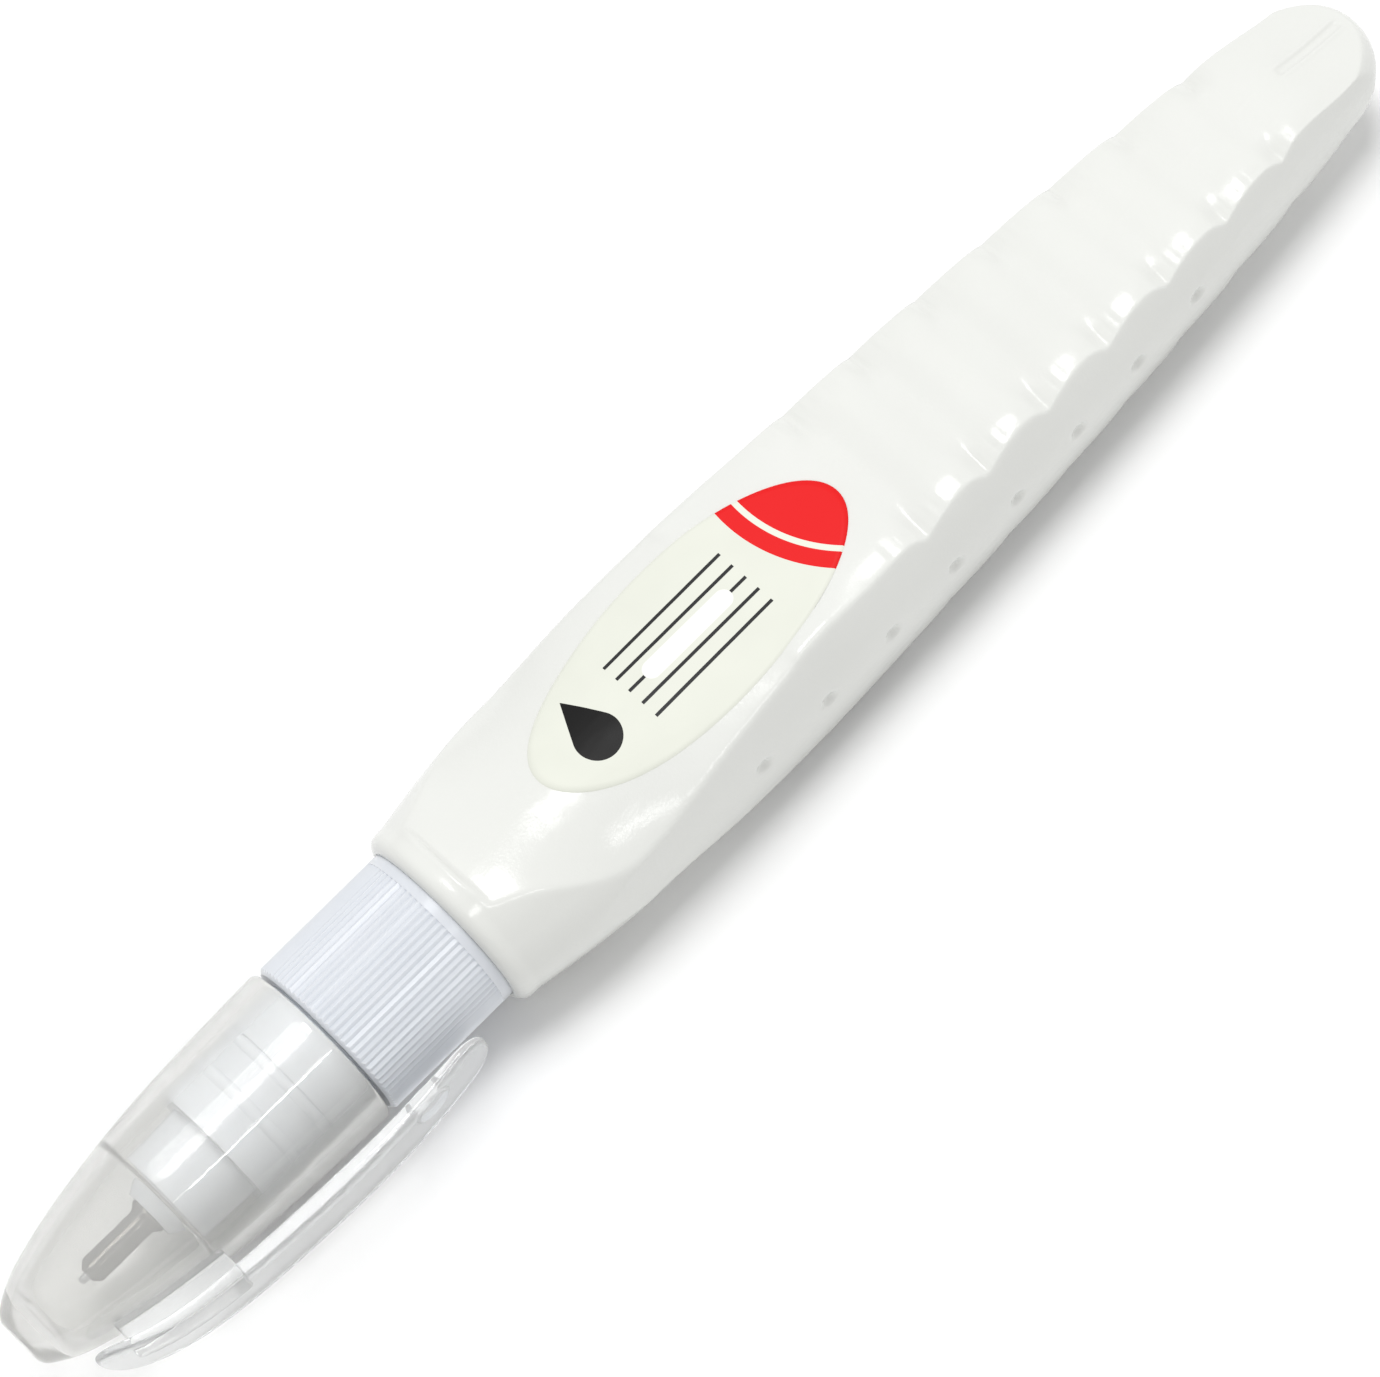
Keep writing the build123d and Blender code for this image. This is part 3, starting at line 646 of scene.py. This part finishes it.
# Nub under the leaf, which holds a pocket's edge
nub_middle = cap_low.x + 30.6
nub_half_length = 1.75
nub_half_width = 1.2
nub_face = -7.7
nub_root = -8.9
nub_rings = 10
nub_columns = 24
nub_top_share = 0.96
nub_points = []
for angle in np.linspace(0, nub_top_share * math.pi / 2, nub_rings):
    width = math.sqrt(math.cos(angle))
    y = nub_root + (nub_face - nub_root) * math.sin(angle)
    for turn in np.arange(nub_columns) * math.tau / nub_columns:
        x = nub_middle + nub_half_length * width * math.sin(turn)
        nub_points.append((x, y, nub_half_width * width * math.cos(turn)))
nub_points += [(nub_middle, nub_root, 0), (nub_middle, nub_face, 0)]


def closed_mesh(name, points, rings, columns):
    """A mesh from rings of points, closed at both ends by fans on the two points after them."""
    hub = rings * columns
    last = hub - columns
    faces = tube_faces(rings, columns)
    faces += [((column + 1) % columns, column, hub) for column in range(columns)]
    faces += [(last + column, last + (column + 1) % columns, hub + 1) for column in range(columns)]
    return new_mesh(name, points, faces)


# All four are joined into one moulding
seam_angle = math.radians(35)
cap = closed_mesh("cap_moulding", shell_points, len(profile), cap_columns)
additions = [
    closed_mesh("cap_clip", clip_points, clip_rings, clip_columns),
    closed_mesh("cap_web", web_points, web_rings, web_corners),
    closed_mesh("cap_nub", nub_points, nub_rings, nub_columns),
]
for addition in additions:
    union = cap.modifiers.new(addition.name, "BOOLEAN")
    union.operation = "UNION"
    union.solver = "MANIFOLD"
    union.object = addition
cap.data = bpy.data.meshes.new_from_object(cap.evaluated_get(bpy.context.evaluated_depsgraph_get()))
cap.modifiers.clear()
for addition in additions:
    bpy.data.objects.remove(addition)
cap.data.set_sharp_from_angle(angle=seam_angle)
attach(cap, "cap")
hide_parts("cap")

# Natural polypropylene: see-through but milky, and a shade greyer in the thin wall than in the solid clip.
# The skin is glossy and ripples faintly. Lamps shine through it on to the nozzle and the tip inside
cap_peel = 0.9
cap_finishes = (
    ("polypropylene_natural_wall", 0.73, "F0F0EE"),
    ("polypropylene_natural_solid", 0.76, "FAFBFB"),
)
cap.data.materials.clear()
for name, clarity, colour in cap_finishes:
    material, tree, shader = new_material(
        name, IOR=1.49, Transmission_Weight=clarity, Base_Color=linear(colour)
    )
    place = add_node(tree, "ShaderNodeTexCoord").outputs["Object"]
    skin_peel = add_node(tree, "ShaderNodeTexNoise", Vector=place, Scale=1 / (cap_peel * MM), Detail=2.0)
    gloss = add_node(tree, "ShaderNodeMapRange", Value=skin_peel.outputs["Fac"], To_Min=0.02, To_Max=0.05)
    tree.links.new(gloss.outputs["Result"], shader.inputs["Roughness"])
    bump = add_node(tree, "ShaderNodeBump", Height=skin_peel.outputs["Fac"], Strength=0.3, Distance=0.03 * MM)
    tree.links.new(bump.outputs["Normal"], shader.inputs["Normal"])
    lamp_ray = add_node(tree, "ShaderNodeLightPath").outputs["Is Shadow Ray"]
    body_light = shader.outputs["BSDF"]
    lamp_light = add_node(tree, "ShaderNodeBsdfTransparent", Color=linear("E2E2E2")).outputs["BSDF"]
    cover = add_node(tree, "ShaderNodeMixShader", _0=lamp_ray, _1=body_light, _2=lamp_light)
    tree.links.new(cover.outputs["Shader"], tree.nodes["Material Output"].inputs["Surface"])
    cap.data.materials.append(material)

# Faces outside the shell's wall take the second finish
for face in cap.data.polygons:
    x, y, z = face.center / MM
    wall_radius = np.interp(x, outer_x, outer_radius, right=0)
    face.material_index = int(math.hypot(y, z) > wall_radius + wall_margin)

# Floor, light and camera: a pale sheet under the pen, a broad lamp overhead that stays out of reflections,
# a softbox above the face and a narrow strip beside the camera, which draw the highlights.
floor_half = 3000.0
floor_z = cad_low.z / MM
floor_points = [(x * floor_half, y * floor_half, floor_z) for x, y in ((-1, -1), (1, -1), (1, 1), (-1, 1))]
floor = new_mesh("floor", floor_points, [(0, 1, 2, 3)])

# Matt white paper: an even pale ground
paper = new_material("paper_matt_white", Roughness=0.9, Base_Color=linear("F8F8F8"))[0]
floor.data.materials.append(paper)

# The camera looks down at the pen's front from the side of its clip, with the pen rising to the right
view_elevation = math.radians(25)
view_tilt = math.radians(9)
view_distance = 450.0
aim_x = 65.0
aim_right = -0.842
aim_up = -1.287
pen_slope = math.radians(44.57)
sensor_width = 36.0
field_width = 94.485
near_limit = 10.0
toward_camera = Vector(
    (
        -math.sin(view_tilt),
        -math.cos(view_tilt) * math.sin(view_elevation),
        math.cos(view_tilt) * math.cos(view_elevation),
    )
)
pen_along = (Vector((1, 0, 0)) - toward_camera * toward_camera.x).normalized()
pen_across = toward_camera.cross(pen_along)
right = math.cos(pen_slope) * pen_along - math.sin(pen_slope) * pen_across
up = math.sin(pen_slope) * pen_along + math.cos(pen_slope) * pen_across
aim = Vector((aim_x, 0, 0))
camera_place = aim + toward_camera * view_distance + right * aim_right + up * aim_up
camera_turn = Matrix((right, up, toward_camera)).transposed().to_4x4()
camera = bpy.data.objects.new("camera", bpy.data.cameras.new("camera"))
camera.data.sensor_width = sensor_width
camera.data.lens = sensor_width * view_distance / field_width
camera.data.clip_start = near_limit * MM
camera.matrix_world = Matrix.Translation(camera_place * MM) @ camera_turn
bpy.context.scene.collection.objects.link(camera)
bpy.context.scene.camera = camera

# Each lamp: direction from the pen, distance and size in metres, power in watts, and whether it is mirrored
lamps = (
    ("overhead_tent", (0.15, 0.17, 0.97), 1.2, (0.6, 0.6), 7.2, False),
    ("edge_softbox", (0.156, 0.02, 0.985), 0.7, (0.18, 0.18), 0.8, True),
    ("camera_strip", (0.0, -0.60, 0.78), 0.7, (0.3, 0.02), 0.34, True),
)
for name, direction, lamp_distance, size, power, mirrored in lamps:
    lamp = bpy.data.objects.new(name, bpy.data.lights.new(name, "AREA"))
    lamp.data.energy = power
    lamp.data.shape = "RECTANGLE"
    lamp.data.size, lamp.data.size_y = size
    lamp.visible_glossy = mirrored
    toward_lamp = Vector(direction).normalized()
    lamp.location = aim * MM + toward_lamp * lamp_distance
    lamp.rotation_mode = "QUATERNION"
    lamp.rotation_quaternion = toward_lamp.to_track_quat("Z", "Y")
    bpy.context.scene.collection.objects.link(lamp)
world = bpy.data.worlds.new("studio")
world.use_nodes = True
background = world.node_tree.nodes["Background"]
background.inputs["Color"].default_value = linear("FFFFFF")
background.inputs["Strength"].default_value = 0.5
bpy.context.scene.world = world
bpy.context.scene.view_settings.view_transform = "Standard"
